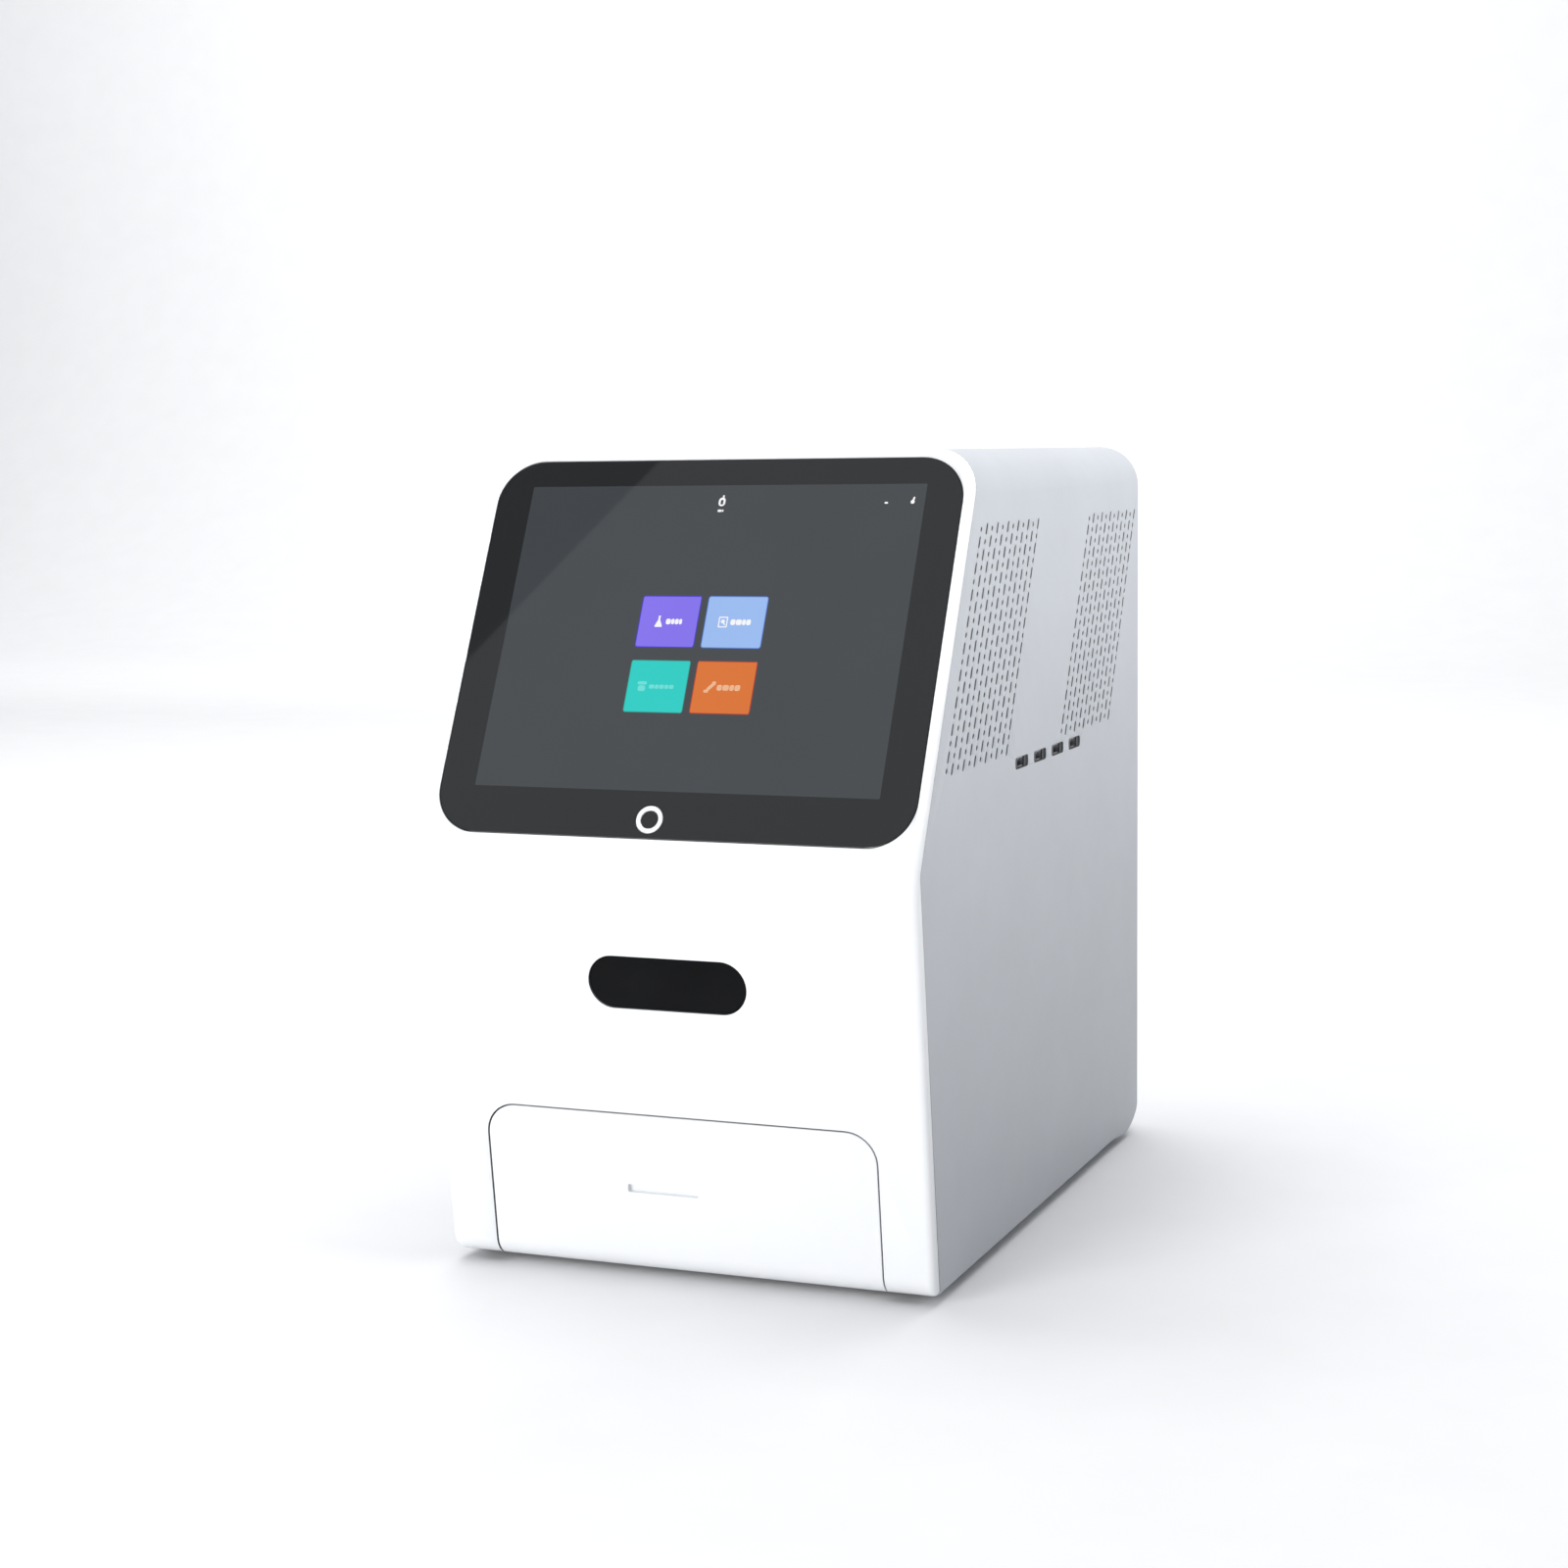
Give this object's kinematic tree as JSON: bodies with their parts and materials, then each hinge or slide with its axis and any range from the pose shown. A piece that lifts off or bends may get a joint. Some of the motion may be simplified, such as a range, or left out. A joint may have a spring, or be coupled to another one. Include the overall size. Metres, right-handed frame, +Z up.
{
  "type": "gel documentation system",
  "caption": "Bench gel imager with a sloped touch display, viewing window, vented sides and a slide-out ultraviolet table under a camera chamber.",
  "frame": {"origin": "on the bench, below the middle of the cabinet's width and depth", "axes": "+Z up, +Y from the front face to the rear, +X to the right seen from the front"},
  "size_m": [0.3, 0.48, 0.471],
  "materials": {
    "white_shell": "satin moulded plastic",
    "grey_shell": "fine powder coat",
    "screen_black": "gloss black glass border",
    "screen_panel": "display face",
    "ring_white": "translucent white",
    "smoke_window": "dark ultraviolet-blocking acrylic",
    "rubber": "matte",
    "black_metal": "matte black paint",
    "zinc_sheet": "zinc plated sheet",
    "steel": "plated steel",
    "board_green": "circuit board",
    "black_plastic": "moulded",
    "black_aluminium": "black anodised",
    "bare_aluminium": "satin",
    "filter_black_glass": "ultraviolet-pass filter glass",
    "lamp_glass": "ultraviolet lamp tube",
    "colour_glass": "bandpass filter glass",
    "diffuser": "opal",
    "foam": "open-cell filter pad"
  },
  "bodies": {
    "root": {"base_pan": "zinc_sheet", "outer_cover": "grey_shell", "front_fascia": "white_shell", "rear_panel": "grey_shell", "rubber_feet": "rubber", "screen_glass": "screen_black", "lcd_module": "screen_panel", "display_bracket": "zinc_sheet", "display_board": "board_green", "button_housing": "black_plastic", "window_pane": "smoke_window", "window_gasket": "rubber", "window_hood": "black_metal", "dark_chamber": "black_metal", "frame_side_left": "zinc_sheet", "frame_side_right": "zinc_sheet", "camera_shelf": "black_metal", "camera_bracket": "bare_aluminium", "camera_body": "black_aluminium", "lens_barrel": "black_aluminium", "wheel_motor": "black_metal", "wheel_bracket": "zinc_sheet", "led_bars": "bare_aluminium", "led_diffusers": "diffuser", "mainboard": "board_green", "power_supply": "zinc_sheet", "fan_frame": "black_plastic", "power_inlet": "black_plastic", "rocker_housing": "black_plastic", "usb_board": "board_green", "usb_sockets": "steel", "usb_bezel": "black_plastic", "dust_filters": "foam", "slide_outer_left": "steel", "slide_outer_right": "steel", "catch_block": "black_plastic", "catch_magnet": "steel", "panel_screws": "steel"},
    "drawer": {"drawer_front": "white_shell", "drawer_tray": "zinc_sheet", "stage_frame": "black_metal", "uv_filter_plate": "filter_black_glass", "uv_tubes": "lamp_glass", "lamp_holders": "diffuser", "lamp_reflector": "bare_aluminium", "ballast_board": "board_green", "strike_plate": "steel", "slide_inner_left": "steel", "slide_inner_right": "steel"},
    "slide_middle_left": {"slide_middle_left": "steel"},
    "slide_middle_right": {"slide_middle_right": "steel"},
    "power_button": {"power_button": "black_plastic", "button_ring": "ring_white"},
    "power_rocker": {"power_rocker": "black_plastic"},
    "filter_wheel": {"filter_wheel": "black_aluminium", "filter_glasses": "colour_glass", "wheel_shaft": "steel"},
    "aperture_ring": {"aperture_ring": "black_aluminium"},
    "focus_ring": {"focus_ring": "black_aluminium"},
    "fan_rotor": {"fan_rotor": "black_plastic"}
  },
  "joints": [
    {"name": "drawer_slide", "type": "slide", "parent": "root", "child": "drawer", "axis": [0, -1, 0], "range_m": [0, 0.25]},
    {"name": "slide_middle_left_run", "type": "slide", "parent": "root", "child": "slide_middle_left", "axis": [0, -1, 0], "range_m": [0, 0.125]},
    {"name": "slide_middle_right_run", "type": "slide", "parent": "root", "child": "slide_middle_right", "axis": [0, -1, 0], "range_m": [0, 0.125]},
    {"name": "power_button_press", "type": "slide", "parent": "root", "child": "power_button", "axis": [0, 0.8949, -0.4462], "range_m": [0, 0.001], "stiffness_N_per_m": 400, "springref_m": -0.0005},
    {"name": "mains_rocker", "type": "hinge", "parent": "root", "child": "power_rocker", "pos_m": [-0.038, 0.2345, 0.071], "axis": [1, 0, 0], "range_deg": [-16, 0]},
    {"name": "filter_wheel_turn", "type": "hinge", "parent": "root", "child": "filter_wheel", "pos_m": [0.044, -0.0518, 0.34], "axis": [0, 0, 1], "continuous": true},
    {"name": "aperture_turn", "type": "hinge", "parent": "root", "child": "aperture_ring", "pos_m": [0, -0.0518, 0.362], "axis": [0, 0, 1], "range_deg": [0, 75]},
    {"name": "focus_turn", "type": "hinge", "parent": "root", "child": "focus_ring", "pos_m": [0, -0.0518, 0.384], "axis": [0, 0, 1], "range_deg": [0, 180]},
    {"name": "fan_spin", "type": "hinge", "parent": "root", "child": "fan_rotor", "pos_m": [0, 0.2275, 0.381], "axis": [0, 1, 0], "continuous": true}
  ],
  "couplings": [
    {"joint": "slide_middle_left_run", "follows": "drawer_slide", "ratio": 0.5},
    {"joint": "slide_middle_right_run", "follows": "drawer_slide", "ratio": 0.5}
  ]
}
